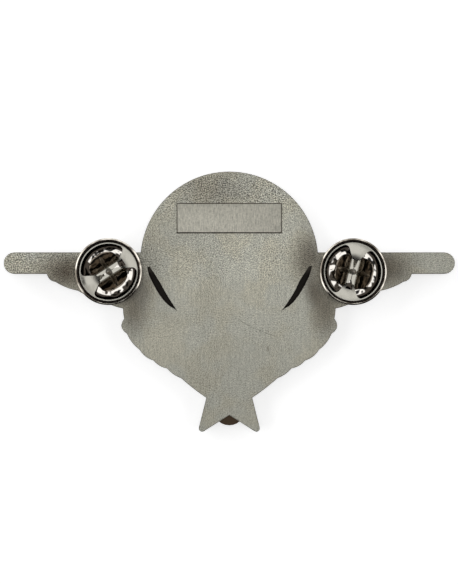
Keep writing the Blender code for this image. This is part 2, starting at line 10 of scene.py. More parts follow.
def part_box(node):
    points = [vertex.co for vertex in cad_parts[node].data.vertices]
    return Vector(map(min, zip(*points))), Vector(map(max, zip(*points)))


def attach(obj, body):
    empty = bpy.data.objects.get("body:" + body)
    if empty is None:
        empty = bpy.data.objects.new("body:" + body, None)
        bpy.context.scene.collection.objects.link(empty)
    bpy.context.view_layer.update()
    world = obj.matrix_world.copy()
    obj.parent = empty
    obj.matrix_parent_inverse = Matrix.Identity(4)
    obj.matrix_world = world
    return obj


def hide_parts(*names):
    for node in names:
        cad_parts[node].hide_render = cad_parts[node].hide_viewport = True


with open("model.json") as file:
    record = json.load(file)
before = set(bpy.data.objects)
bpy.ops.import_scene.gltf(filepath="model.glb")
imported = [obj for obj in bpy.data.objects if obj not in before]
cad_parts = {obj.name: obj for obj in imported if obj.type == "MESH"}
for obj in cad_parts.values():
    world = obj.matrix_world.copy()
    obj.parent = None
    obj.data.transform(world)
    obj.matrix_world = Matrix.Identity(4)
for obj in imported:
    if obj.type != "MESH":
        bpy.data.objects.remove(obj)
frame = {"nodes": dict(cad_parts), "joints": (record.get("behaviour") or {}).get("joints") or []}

mm = 0.001
scene = bpy.context.scene
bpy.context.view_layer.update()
jointByName = {joint["name"]: joint for joint in frame["joints"]}
print("frame loaded:", len(frame["nodes"]), "nodes")


# small helpers for node trees
def plug(tree, value, socket):
    if isinstance(value, bpy.types.NodeSocket):
        tree.links.new(value, socket)
    else:
        socket.default_value = value


def addMath(tree, operation, first, second=0.0, third=0.0):
    node = tree.nodes.new("ShaderNodeMath")
    node.operation = operation
    for value, socket in zip((first, second, third), node.inputs):
        plug(tree, value, socket)
    return node.outputs[0]


def times(tree, first, second):
    return addMath(tree, "MULTIPLY", first, second)


def addVectorMath(tree, operation, first, second):
    node = tree.nodes.new("ShaderNodeVectorMath")
    node.operation = operation
    plug(tree, first, node.inputs[0])
    plug(tree, second, node.inputs[1])
    return node.outputs["Value"] if operation == "LENGTH" else node.outputs["Vector"]


def addSplit(tree, vector):
    node = tree.nodes.new("ShaderNodeSeparateXYZ")
    tree.links.new(vector, node.inputs[0])
    return node.outputs


def addRange(tree, value, fromLow, fromHigh, toLow=0.0, toHigh=1.0, smooth=True):
    node = tree.nodes.new("ShaderNodeMapRange")
    node.interpolation_type = "SMOOTHSTEP" if smooth else "LINEAR"
    for wanted, name in ((value, "Value"), (fromLow, "From Min"), (fromHigh, "From Max"),
                         (toLow, "To Min"), (toHigh, "To Max")):
        plug(tree, wanted, node.inputs[name])
    return node.outputs["Result"]


def addNoise(tree, vector, scale, detail, roughness=0.5):
    node = tree.nodes.new("ShaderNodeTexNoise")
    plug(tree, vector, node.inputs["Vector"])
    node.inputs["Scale"].default_value = scale
    node.inputs["Detail"].default_value = detail
    node.inputs["Roughness"].default_value = roughness
    return node.outputs[0]


def addMix(tree, share, first, second, blend="MIX"):
    node = tree.nodes.new("ShaderNodeMix")
    node.data_type = "RGBA"
    node.blend_type = blend
    plug(tree, share, node.inputs[0])
    for value, socket in ((first, node.inputs[6]), (second, node.inputs[7])):
        plug(tree, value if isinstance(value, bpy.types.NodeSocket) else (*value, 1.0), socket)
    return node.outputs[2]


def addGrey(tree, value):
    node = tree.nodes.new("ShaderNodeCombineColor")
    for socket in node.inputs:
        plug(tree, value, socket)
    return node.outputs[0]


def addBump(tree, height, strength, distance):
    node = tree.nodes.new("ShaderNodeBump")
    node.inputs["Strength"].default_value = strength
    node.inputs["Distance"].default_value = distance
    plug(tree, height, node.inputs["Height"])
    return node.outputs[0]


def millimetres(tree, stretch=(1.0, 1.0, 1.0), shift=(0.0, 0.0, 0.0)):
    # the piece's own place in millimetres, stretched for streaks
    coords = tree.nodes.new("ShaderNodeTexCoord")
    mapping = tree.nodes.new("ShaderNodeMapping")
    mapping.inputs["Scale"].default_value = [s / mm for s in stretch]
    mapping.inputs["Location"].default_value = shift
    tree.links.new(coords.outputs["Object"], mapping.inputs["Vector"])
    return mapping.outputs[0]


def newMetal(name):
    material = bpy.data.materials.new(name)
    material.use_nodes = True
    tree = material.node_tree
    shader = tree.nodes["Principled BSDF"]
    shader.inputs["Metallic"].default_value = 1.0
    return material, tree, shader


# camera straight above the back, as the photo was taken
cameraSetup = {"place": (-0.05 * mm, 1.7 * mm, 292.7 * mm), "lens": 101.66, "sensor": 36.0}


def makeCamera():
    data = bpy.data.cameras.new("photoCamera")
    data.lens = cameraSetup["lens"]
    data.sensor_fit = "AUTO"
    data.sensor_width = cameraSetup["sensor"]  # the long side of the picture
    data.dof.use_dof = False
    camera = bpy.data.objects.new("photoCamera", data)
    scene.collection.objects.link(camera)
    camera.location = cameraSetup["place"]
    scene.camera = camera


makeCamera()
print("camera set")


# white table and a soft studio round it
studioSetup = {
    "floorColor": (0.72, 0.72, 0.72),
    "floorLift": 0.66,  # white seen by the camera and by mirrors
    "floorHalf": 3.0,
    "floorLevel": -0.02 * mm,  # just under the part
    "roomLevel": 0.03,
    # soft boxes: level, direction, how far round it reaches, lowest and highest height, edge width
    "boxes": ((1.5, (0.0, 0.0), (-2.0, -1.0), (0.93, 2.0), 0.03),
              (2.4, (-1.0, 0.15), (0.60, 0.84), (0.26, 0.72), 0.05),
              (2.1, (1.0, 0.15), (0.70, 0.88), (0.30, 0.66), 0.05),
              (1.8, (0.0, 1.0), (0.68, 0.86), (0.20, 0.58), 0.06)),
    "cameraHeight": (0.9962, 0.9988),  # dark lens straight above
    "cameraLevel": 0.04,
}


def makeFloor():
    half = studioSetup["floorHalf"]
    bm = bmesh.new()
    corners = ((-half, -half), (half, -half), (half, half), (-half, half))
    bm.faces.new([bm.verts.new((x, y, studioSetup["floorLevel"])) for x, y in corners])
    mesh = bpy.data.meshes.new("tableTop")
    bm.to_mesh(mesh)
    bm.free()
    floor = bpy.data.objects.new("tableTop", mesh)
    scene.collection.objects.link(floor)
    material = bpy.data.materials.new("whiteTable")
    material.use_nodes = True
    tree = material.node_tree
    tree.nodes.clear()
    rays = tree.nodes.new("ShaderNodeLightPath")
    seen = addMath(tree, "MAXIMUM", rays.outputs["Is Camera Ray"], rays.outputs["Is Glossy Ray"])
    seen = addMath(tree, "MAXIMUM", seen, rays.outputs["Is Transmission Ray"])
    diffuse = tree.nodes.new("ShaderNodeBsdfDiffuse")
    diffuse.inputs["Color"].default_value = (*studioSetup["floorColor"], 1.0)
    lift = tree.nodes.new("ShaderNodeEmission")
    plug(tree, times(tree, seen, studioSetup["floorLift"]), lift.inputs["Strength"])
    both = tree.nodes.new("ShaderNodeAddShader")
    output = tree.nodes.new("ShaderNodeOutputMaterial")
    tree.links.new(diffuse.outputs[0], both.inputs[0])
    tree.links.new(lift.outputs[0], both.inputs[1])
    tree.links.new(both.outputs[0], output.inputs["Surface"])
    mesh.materials.append(material)


def addBox(tree, split, around, box):
    # one soft box of the studio, by its compass direction and height
    level, (east, north), (start, full), (low, high), edge = box
    facing = addMath(tree, "MULTIPLY_ADD", split["X"], east, times(tree, split["Y"], north))
    facing = addMath(tree, "DIVIDE", facing, around)
    mask = addRange(tree, facing, start, full)
    mask = times(tree, mask, addRange(tree, split["Z"], low - edge, low + edge))
    mask = times(tree, mask, addRange(tree, split["Z"], high - edge, high + edge, 1.0, 0.0))
    return times(tree, mask, level)


def makeWorld():
    world = bpy.data.worlds.new("softStudio")
    world.use_nodes = True
    scene.world = world
    tree = world.node_tree
    tree.nodes.clear()
    coords = tree.nodes.new("ShaderNodeTexCoord")
    split = addSplit(tree, coords.outputs["Generated"])
    height = split["Z"]
    overOne = 1.0001  # keeps the root above zero straight up
    flat = addMath(tree, "SUBTRACT", overOne, times(tree, height, height))
    around = addMath(tree, "SQRT", flat)
    level = studioSetup["roomLevel"]
    for box in studioSetup["boxes"]:
        level = addMath(tree, "MAXIMUM", level, addBox(tree, split, around, box))
    lens = addRange(tree, height, *studioSetup["cameraHeight"], 1.0, studioSetup["cameraLevel"])
    level = times(tree, level, lens)
    rays = tree.nodes.new("ShaderNodeLightPath")
    shown = addMath(tree, "MAXIMUM", level, rays.outputs["Is Camera Ray"])
    background = tree.nodes.new("ShaderNodeBackground")
    plug(tree, shown, background.inputs["Strength"])
    output = tree.nodes.new("ShaderNodeOutputWorld")
    tree.links.new(background.outputs[0], output.inputs["Surface"])


makeFloor()
makeWorld()
scene.view_settings.view_transform = "Standard"
print("table and studio set")


# shared ways of making meshes
mergeDistance = 1e-7  # corners nearer than this are one


def finishPiece(name, bm, material, body, nodes, smoothAngle=40.0):
    bmesh.ops.recalc_face_normals(bm, faces=bm.faces)
    closed = all(edge.is_manifold for edge in bm.edges)
    if closed and bm.calc_volume(signed=True) < 0:  # inside out
        bmesh.ops.reverse_faces(bm, faces=bm.faces)
    mesh = bpy.data.meshes.new(name)
    bm.to_mesh(mesh)
    bm.free()
    mesh.materials.append(material)
    mesh.shade_smooth()
    mesh.set_sharp_from_angle(angle=math.radians(smoothAngle))
    piece = bpy.data.objects.new(name, mesh)
    scene.collection.objects.link(piece)
    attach(piece, body)
    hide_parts(*nodes)
    return piece


def addBevel(piece, width, segments, angle=40.0):
    bevel = piece.modifiers.new("softEdges", "BEVEL")
    bevel.width = width
    bevel.segments = segments
    bevel.limit_method = "ANGLE"
    bevel.angle_limit = math.radians(angle)
    bevel.harden_normals = True


def arcPoints(centre, radius, start, end, steps):
    points = []
    for i in range(steps + 1):
        angle = start + (end - start) * i / steps
        points.append(Vector((centre[0] + radius * math.cos(angle), centre[1] + radius * math.sin(angle))))
    return points


def addLathe(bm, profile, steps, place):
    # closed profile of radius and height, turned round an upright axis
    verts = [bm.verts.new((p[0], 0, p[1])) for p in profile]
    edges = [bm.edges.new((verts[i - 1], verts[i])) for i in range(len(verts))]
    bmesh.ops.spin(bm, geom=edges, cent=(0, 0, 0), axis=(0, 0, 1), angle=math.tau,
                   steps=steps, use_merge=True)
    bmesh.ops.remove_doubles(bm, verts=bm.verts, dist=mergeDistance)
    bmesh.ops.dissolve_degenerate(bm, edges=bm.edges, dist=mergeDistance)
    loose = [edge for edge in bm.edges if edge.is_wire]
    bmesh.ops.delete(bm, geom=loose, context="EDGES")
    bmesh.ops.translate(bm, verts=bm.verts, vec=place)


def addLoft(bm, rings):
    loops = [[bm.verts.new((p.x, p.y, height)) for p in outline] for outline, height in rings]
    for low, high in zip(loops, loops[1:]):
        for i in range(len(low)):
            j = (i + 1) % len(low)
            bm.faces.new((low[i], low[j], high[j], high[i]))
    bm.faces.new(loops[0])
    bm.faces.new(loops[-1])


# struck plate
# noises hold scale, detail and roughness, and tones hold a range and what it turns into
plateSetup = {
    "color": (0.466, 0.449, 0.370),
    "coolColor": (0.454, 0.449, 0.388),
    "coolNoise": (0.24, 1.0, 0.5),
    "coolRange": (0.38, 0.64),
    # brown stain colour, also standing for painted shade beside the clutches and slits
    "stainAndShade": (0.14, 0.116, 0.087),
    "stainAndShadeTone": (0.25, 0.7, 0.7, 1.2),
    "stainRough": 0.12,
    "recess": (0.10, 0.095, 0.085),  # dark ground of the front, by its height
    "groundRise": (0.55, 1.0),
    "groundFall": (1.1, 1.25, 1.0, 0.0),
    "groundShare": 0.75,
    "seam": (0.05, 0.042, 0.034),
    "seamReach": (0.06, 0.26, 1.0, 0.0),  # painted shade and grime as a dark line round the plaque
    "seamDepth": 0.3,
    # painted shade inside the slits, lighter towards their upper ends
    "slit": (0.018, 0.016, 0.014),
    "slitShadeUpper": (0.085, 0.075, 0.062),
    "slitShadeFade": (4.6, 6.6),
    "slitShadeBox": ((8.3, 15.0), (-2.4, 7.2), (1.3, 2.58)),  # reach from the middle line, along and height
    # painted shade on the drop below the tail
    "dropShade": (0.075, 0.052, 0.034),
    "dropShadeBox": ((-0.1, 2.45), (-23.5, -19.4), (0.9, 1.5)),
    "roughness": (0.2, 0.8, 0.37, 0.47),
    "grainStretch": (7.0, 0.45, 1.0),
    "grainNoise": (1.0, 3.0, 0.6),
    "grainTone": (0.25, 0.75, 0.8, 1.2),
    "gritNoise": (5.6, 2.0, 0.6),
    "gritTone": (0.25, 0.75, -1.1, 1.1),
    "speckNoise": (8.96, 1.0, 0.5),
    "lightSpecks": (0.60, 0.74, 0.0, 0.7),
    "darkSpecks": (0.26, 0.40, 0.55, 0.0),
    "gritZone": (-1.0, 8.0, 0.5, 0.85),  # stronger grit towards the dome
    "gritTop": (13.0, 20.0, 0.0, 0.6),
    "gritWings": ((-25.0, -15.0, 1.7, 1.0), (17.0, 25.0, 1.0, 0.75)),
    "gritRelief": 0.8,
    "relief": (0.25, 0.012 * mm),  # strength and depth of the fine bump
    "cloudNoise": (0.12, 3.0, 0.55),
    "cloudTone": (0.25, 0.75, 0.93, 1.07),
    "tailTone": (-22.0, 2.0, 0.9, 1.0),
    "edgeShade": (0.55, 0.97, 0.4, 1.0),  # painted shade on steep edges, by the upright normal, from the steep edge to the flat
    # brown patches, partly stain and partly painted shade beside the clutches and slits: middle, half
    # widths and strength
    "patches": (((-3.0, 19.6), (5.5, 3.2), 0.4), ((14.0, 7.6), (2.5, 3.9), 0.75),
                ((-14.6, 7.0), (2.6, 4.2), 0.22), ((-16.8, -0.8), (2.6, 4.5), 0.62),
                ((17.0, -1.2), (2.5, 4.6), 0.62), ((14.7, 1.9), (1.5, 2.2), 0.44),
                ((-14.3, 2.4), (1.3, 2.2), 0.25), ((-28.2, 5.2), (4.8, 3.0), 0.9),
                ((28.0, 6.0), (4.4, 3.4), 0.7), ((6.8, -8.3), (0.2, 0.5), 0.4)),
    # lighter patches in the same way
    "lightPatches": (((3.9, 4.4), (6.0, 7.5), 0.17), ((-7.6, 3.0), (2.6, 6.0), 0.15),
               ((9.4, 13.0), (3.0, 4.2), 0.2), ((-10.6, -7.4), (4.2, 3.6), 0.14),
               ((1.0, 12.0), (6.0, 2.4), 0.08)),
    "patchFade": 1.7,  # where a patch ends, in half widths
    # a scratch: start and end across, its curve and its half width
    "scratch": ((1.3, 8.4), (-2.122, -0.684, 0.0245), 0.05),
    "scratchTone": 0.72,
    "scratchFade": 0.6,
    "scratchSpread": 2.5,
    "backLevel": 2.0,
    "mergeDistance": 1e-6,
    "flatAngle": math.radians(0.5),
    "smoothAngle": 32.0,
}


def addPatches(tree, place, patches):
    total = 0.0
    for middle, reach, strength in patches:
        offset = addVectorMath(tree, "SUBTRACT", place, (*middle, 0.0))
        scaled = addVectorMath(tree, "MULTIPLY", offset, (1 / reach[0], 1 / reach[1], 0.0))
        distance = addVectorMath(tree, "LENGTH", scaled, (0.0, 0.0, 0.0))
        fade = addRange(tree, distance, 0.0, plateSetup["patchFade"], strength, 0.0)
        total = addMath(tree, "ADD", total, fade)
    return total


def addBoxMask(tree, split, box):
    # one inside a box that is the same left and right of the middle line
    mask = 1.0
    sideways = addMath(tree, "ABSOLUTE", split["X"])
    for value, (low, high) in zip((sideways, split["Y"], split["Z"]), box):
        mask = times(tree, mask, addMath(tree, "GREATER_THAN", value, low))
        mask = times(tree, mask, addMath(tree, "LESS_THAN", value, high))
    return mask


def addSeamShade(tree, split):
    # painted shade and grime in the seam round the plaque
    low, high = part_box("back_plaque")
    reach = -1000.0  # below any that follows
    for name, first, last in (("X", low.x, high.x), ("Y", low.y, high.y)):
        offset = addMath(tree, "SUBTRACT", split[name], (first + last) / 2 / mm)
        side = addMath(tree, "SUBTRACT", addMath(tree, "ABSOLUTE", offset), (last - first) / 2 / mm)
        reach = addMath(tree, "MAXIMUM", reach, side)
    back = addMath(tree, "GREATER_THAN", split["Z"], low.z / mm - plateSetup["seamDepth"])
    return times(tree, back, addRange(tree, reach, *plateSetup["seamReach"]))


def addScratch(tree, split):
    # tone of a thin curved scratch on the back
    (start, end), (level, slope, bend), half = plateSetup["scratch"]
    fade = plateSetup["scratchFade"]
    along = split["X"]
    curve = addMath(tree, "MULTIPLY_ADD", along, bend, slope)
    curve = addMath(tree, "MULTIPLY_ADD", curve, along, level)
    away = addMath(tree, "ABSOLUTE", addMath(tree, "SUBTRACT", split["Y"], curve))
    mask = addRange(tree, away, half, plateSetup["scratchSpread"] * half, 1.0, 0.0)
    mask = times(tree, mask, addRange(tree, along, start, start + fade))
    mask = times(tree, mask, addRange(tree, along, end - fade, end, 1.0, 0.0))
    mask = times(tree, mask, addMath(tree, "GREATER_THAN", split["Z"], plateSetup["backLevel"]))
    return addRange(tree, mask, 0.0, 1.0, 1.0, plateSetup["scratchTone"], smooth=False)


def addGrit(tree, place, split):
    # speckled tone of the struck surface, above and below nought
    grit = addNoise(tree, place, *plateSetup["gritNoise"])
    speck = addNoise(tree, place, *plateSetup["speckNoise"])
    tone = addRange(tree, grit, *plateSetup["gritTone"], smooth=False)
    tone = addMath(tree, "ADD", tone, addRange(tree, speck, *plateSetup["lightSpecks"]))
    tone = addMath(tree, "SUBTRACT", tone, addRange(tree, speck, *plateSetup["darkSpecks"]))
    zone = addRange(tree, split["Y"], *plateSetup["gritZone"])
    zone = addMath(tree, "ADD", zone, addRange(tree, split["Y"], *plateSetup["gritTop"]))
    for wing in plateSetup["gritWings"]:
        zone = times(tree, zone, addRange(tree, split["X"], *wing))
    return grit, times(tree, tone, zone)


def plateMetal():
    setup = plateSetup
    material, tree, shader = newMetal("satinPlate")
    place = millimetres(tree)
    split = addSplit(tree, place)
    grain = addNoise(tree, millimetres(tree, setup["grainStretch"]), *setup["grainNoise"])
    grit, speckle = addGrit(tree, place, split)
    cloud = addNoise(tree, place, *setup["cloudNoise"])
    cool = addRange(tree, addNoise(tree, place, *setup["coolNoise"]), *setup["coolRange"])
    color = addMix(tree, cool, setup["color"], setup["coolColor"])

    # brown patches of stain and painted shade, the dark ground of the front and painted shade with grime
    # in the seam round the plaque
    stainAndShade = addPatches(tree, place, setup["patches"])
    stainAndShade = times(tree, stainAndShade, addRange(tree, cloud, *setup["stainAndShadeTone"]))
    stainAndShade = addMath(tree, "MINIMUM", stainAndShade, 1.0)
    color = addMix(tree, stainAndShade, color, setup["stainAndShade"])
    ground = addRange(tree, split["Z"], *setup["groundRise"])
    ground = times(tree, ground, addRange(tree, split["Z"], *setup["groundFall"]))
    color = addMix(tree, times(tree, ground, setup["groundShare"]), color, setup["recess"])
    color = addMix(tree, addSeamShade(tree, split), color, setup["seam"])

    # light and dark over the surface
    tone = addMath(tree, "ADD", addRange(tree, grain, *setup["grainTone"], smooth=False), speckle)
    tone = times(tree, tone, addRange(tree, cloud, *setup["cloudTone"], smooth=False))
    tone = times(tree, tone, addRange(tree, split["Y"], *setup["tailTone"]))
    lightPatches = addPatches(tree, place, setup["lightPatches"])
    tone = times(tree, tone, addMath(tree, "ADD", 1.0, lightPatches))
    tone = times(tree, tone, addScratch(tree, split))
    # painted shade: steep edges darker than the flat faces
    coords = tree.nodes.new("ShaderNodeTexCoord")
    facing = addSplit(tree, coords.outputs["Normal"])
    upright = addMath(tree, "ABSOLUTE", facing["Z"])
    tone = times(tree, tone, addRange(tree, upright, *setup["edgeShade"]))
    color = addMix(tree, 1.0, color, addGrey(tree, tone), "MULTIPLY")

    # painted shade in the slits, lighter towards their upper ends, and on the drop below the tail
    slitShadeRise = addRange(tree, split["Y"], *setup["slitShadeFade"])
    depth = addMix(tree, slitShadeRise, setup["slit"], setup["slitShadeUpper"])
    color = addMix(tree, addBoxMask(tree, split, setup["slitShadeBox"]), color, depth)
    color = addMix(tree, addBoxMask(tree, split, setup["dropShadeBox"]), color, setup["dropShade"])
    plug(tree, color, shader.inputs["Base Color"])
    rough = addRange(tree, grain, *setup["roughness"], smooth=False)
    rough = addMath(tree, "ADD", rough, times(tree, stainAndShade, setup["stainRough"]))
    plug(tree, rough, shader.inputs["Roughness"])
    relief = addMath(tree, "ADD", grain, times(tree, grit, setup["gritRelief"]))
    plug(tree, addBump(tree, relief, *setup["relief"]), shader.inputs["Normal"])
    return material


# the slits' finer outline, in millimetres along and across from the upper end of the straight inner edge
slitSetup = {
    "ends": ((13.984, 6.21), (9.076, -1.453)),  # inner edge of the right slit
    "floor": 1.4,
    "cuts": 11,
    # share of the length and how far the inner edge bows into the slit
    "bow": {"right": ((0.0, 0.0), (0.33, 0.0), (0.45, 0.17), (0.58, 0.27), (0.72, 0.29),
                      (0.92, 0.24), (1.0, 0.2)),
            "left": ((0.0, 0.0), (0.38, 0.0), (0.5, 0.08), (0.66, 0.17), (0.92, 0.17), (1.0, 0.14))},
    "tipRun": 0.2,  # the lower tip runs on
    "topWidth": 0.42,  # across to the upper outer corner, which runs on too
    "topRun": {"right": 0.45, "left": 0.1},
    "near": 0.01,
}


def between(points, share):
    for (x0, y0), (x1, y1) in zip(points, points[1:]):
        if share <= x1:
            return y0 + (y1 - y0) * (share - x0) / (x1 - x0)
    return points[-1][1]


def shapeSlits(bm):
    near = slitSetup["near"] * mm
    floor = slitSetup["floor"] * mm
    for name, sign in (("right", 1), ("left", -1)):
        start, end = (Vector((sign * x * mm, y * mm, 0)) for x, y in slitSetup["ends"])
        length = (end - start).length
        along = Vector(((end.x - start.x) / length, (end.y - start.y) / length, 0))
        across = sign * Vector((-along.y, along.x, 0))

        def onInnerEdge(vert):
            offset = vert.co - start
            inReach = -near < offset.dot(along) < length + near
            return vert.co.z > floor and inReach and abs(offset.dot(across)) < near

        edges = [edge for edge in bm.edges if onInnerEdge(edge.verts[0]) and onInnerEdge(edge.verts[1])]
        edges = [edge for edge in edges if edge.calc_length() > length / 2]
        bmesh.ops.subdivide_edges(bm, edges=edges, cuts=slitSetup["cuts"])
        for vert in bm.verts:
            reach = (vert.co - start).dot(along)
            width = (vert.co - start).dot(across)
            offCorner = abs(reach) + abs(width - slitSetup["topWidth"] * mm)
            if onInnerEdge(vert):
                vert.co += across * between(slitSetup["bow"][name], max(0.0, reach / length)) * mm
                if reach > length - near:
                    vert.co += along * slitSetup["tipRun"] * mm
            elif vert.co.z > floor and offCorner < near:
                vert.co -= along * slitSetup["topRun"][name] * mm


def makePlate():
    source = frame["nodes"]["badge_plate"].data
    bm = bmesh.new()
    verts = [bm.verts.new(vert.co) for vert in source.vertices]
    for face in source.polygons:
        bm.faces.new([verts[i] for i in face.vertices])
    bmesh.ops.remove_doubles(bm, verts=bm.verts, dist=plateSetup["mergeDistance"])
    bmesh.ops.dissolve_limit(bm, angle_limit=plateSetup["flatAngle"], verts=bm.verts, edges=bm.edges)
    shapeSlits(bm)
    finishPiece("badgePlate", bm, plateMetal(), "badge", ["badge_plate"],
                plateSetup["smoothAngle"])


makePlate()
print("plate made")


# thin blank plaque on the back
plaqueSetup = {
    "color": (0.495, 0.478, 0.41),
    "roughness": (0.2, 0.8, 0.31, 0.41),
    "cornerRadius": 0.12 * mm,
    "cornerSteps": 5,
    "edgeRound": 0.06 * mm,
    "edgeSteps": 3,
    "grainStretch": (6.0, 0.9, 1.0),
    "grainNoise": (1.0, 3.0, 0.6),
    "grainTone": (0.25, 0.75, 0.66, 1.34),
    "grainBump": (0.2, 0.01 * mm),
    "gritNoise": (4.0, 2.0, 0.6),
    "gritTone": (0.25, 0.75, -0.2, 0.2),
    "scuffPlace": ((2.4, 0.8, 1.0), (7.0, 3.0, 0.0)),  # stretch and shift
    "scuffNoise": (1.0, 2.0, 0.5),
    "scuffTone": (0.64, 0.72, 0.0, 0.22),
}


def plaqueMetal():
    setup = plaqueSetup
    material, tree, shader = newMetal("brushedPlaque")
    grain = addNoise(tree, millimetres(tree, setup["grainStretch"]), *setup["grainNoise"])
    grit = addNoise(tree, millimetres(tree), *setup["gritNoise"])
    scuff = addNoise(tree, millimetres(tree, *setup["scuffPlace"]), *setup["scuffNoise"])
    tone = addRange(tree, grain, *setup["grainTone"], smooth=False)
    tone = addMath(tree, "ADD", tone, addRange(tree, grit, *setup["gritTone"], smooth=False))
    tone = addMath(tree, "SUBTRACT", tone, addRange(tree, scuff, *setup["scuffTone"]))
    color = addMix(tree, 1.0, setup["color"], addGrey(tree, tone), "MULTIPLY")
    plug(tree, color, shader.inputs["Base Color"])
    plug(tree, addRange(tree, grain, *setup["roughness"]), shader.inputs["Roughness"])
    plug(tree, addBump(tree, grain, *setup["grainBump"]), shader.inputs["Normal"])
    return material


def roundedRectangle(low, high, radius, shrink):
    low = Vector((low.x + shrink, low.y + shrink))
    high = Vector((high.x - shrink, high.y - shrink))
    turn = math.pi / 2
    points = []
    for i, centre in enumerate(((high.x - radius, high.y - radius), (low.x + radius, high.y - radius),
                                (low.x + radius, low.y + radius), (high.x - radius, low.y + radius))):
        points += arcPoints(centre, radius, i * turn, (i + 1) * turn, plaqueSetup["cornerSteps"])
    return points


def makePlaque():
    low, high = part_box("back_plaque")
    edge = plaqueSetup["edgeRound"]
    steps = plaqueSetup["edgeSteps"]
    rings = [(roundedRectangle(low, high, plaqueSetup["cornerRadius"], 0.0), low.z)]
    for i in range(steps + 1):
        angle = math.pi / 2 * i / steps
        shrink = edge * (1 - math.cos(angle))
        rings.append((roundedRectangle(low, high, plaqueSetup["cornerRadius"], shrink),
                      high.z - edge + edge * math.sin(angle)))
    bm = bmesh.new()
    addLoft(bm, rings)
    finishPiece("backPlaque", bm, plaqueMetal(), "badge", ["back_plaque"])


makePlaque()
print("plaque made")


# pointed tack posts
postSetup = {
    "color": (0.58, 0.56, 0.51),
    "wearAndReflectionColor": (0.46, 0.44, 0.395),
    "wearAndReflectionNoise": (4.0, 3.0),
    "wearAndReflectionRange": (0.4, 0.7),
    "roughness": (0.3, 0.7, 0.37, 0.52),
    "radius": 0.45 * mm,
    "waist": 0.32 * mm,
    "flange": 1.6 * mm,
    "flangeHeight": 0.42 * mm,
    "flangeSide": 0.12 * mm,  # from the flange's top down to the last point of its side
    "flangeRound": 0.14 * mm,
    "flangeSteps": 4,
    "fillet": 0.3 * mm,
    "filletSteps": 5,
    "groove": (1.895 * mm, 2.595 * mm),  # from the back of the plate
    "pointLength": 1.3 * mm,
    # where the point starts, off the radius and along, then its tip by radius and height from the top
    "taper": ((0.0, -0.05 * mm), (-0.02 * mm, 0.04 * mm)),
    "tip": ((0.12 * mm, -0.1 * mm), (0.06 * mm, -0.02 * mm), (0.0, 0.0)),
    "steps": 40,
}


def postMetal():
    setup = postSetup
    material, tree, shader = newMetal("platedPost")
    wearAndReflection = addNoise(tree, millimetres(tree), *setup["wearAndReflectionNoise"])
    worn = addRange(tree, wearAndReflection, *setup["wearAndReflectionRange"])
    plug(tree, addMix(tree, worn, setup["color"], setup["wearAndReflectionColor"]), shader.inputs["Base Color"])
    plug(tree, addRange(tree, wearAndReflection, *setup["roughness"]), shader.inputs["Roughness"])
    return material


def makePost(side, material):
    setup = postSetup
    low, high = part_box(side + "_post")
    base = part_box("badge_plate")[1].z
    foot = low.z - base
    top = high.z - base
    shelf = foot + setup["flangeHeight"]
    radius = setup["radius"]
    waist = setup["waist"]
    flange = setup["flange"]
    edge = setup["flangeRound"]
    fillet = setup["fillet"]
    quarter = math.pi / 2
    profile = [(0, foot), (flange, foot), (flange, shelf - setup["flangeSide"])]
    arcs = arcPoints((flange - edge, shelf - edge), edge, 0, quarter, setup["flangeSteps"])
    arcs += arcPoints((radius + fillet, shelf + fillet), fillet, -quarter, -math.pi, setup["filletSteps"])
    profile += [tuple(p) for p in arcs]
    first, last = setup["groove"]
    slope = radius - waist
    profile += [(radius, first), (waist, first + slope), (waist, last - slope), (radius, last)]
    start = top - setup["pointLength"]
    profile += [(radius + x, start + z) for x, z in setup["taper"]]
    profile += [(x, top + z) for x, z in setup["tip"]]
    bm = bmesh.new()
    middle = (low + high) / 2
    addLathe(bm, profile, setup["steps"], (middle.x, middle.y, base))
    finishPiece(side + "Post", bm, material, "badge", [side + "_post"])


postFinish = postMetal()
for side in ("left", "right"):
    makePost(side, postFinish)
print("posts made")


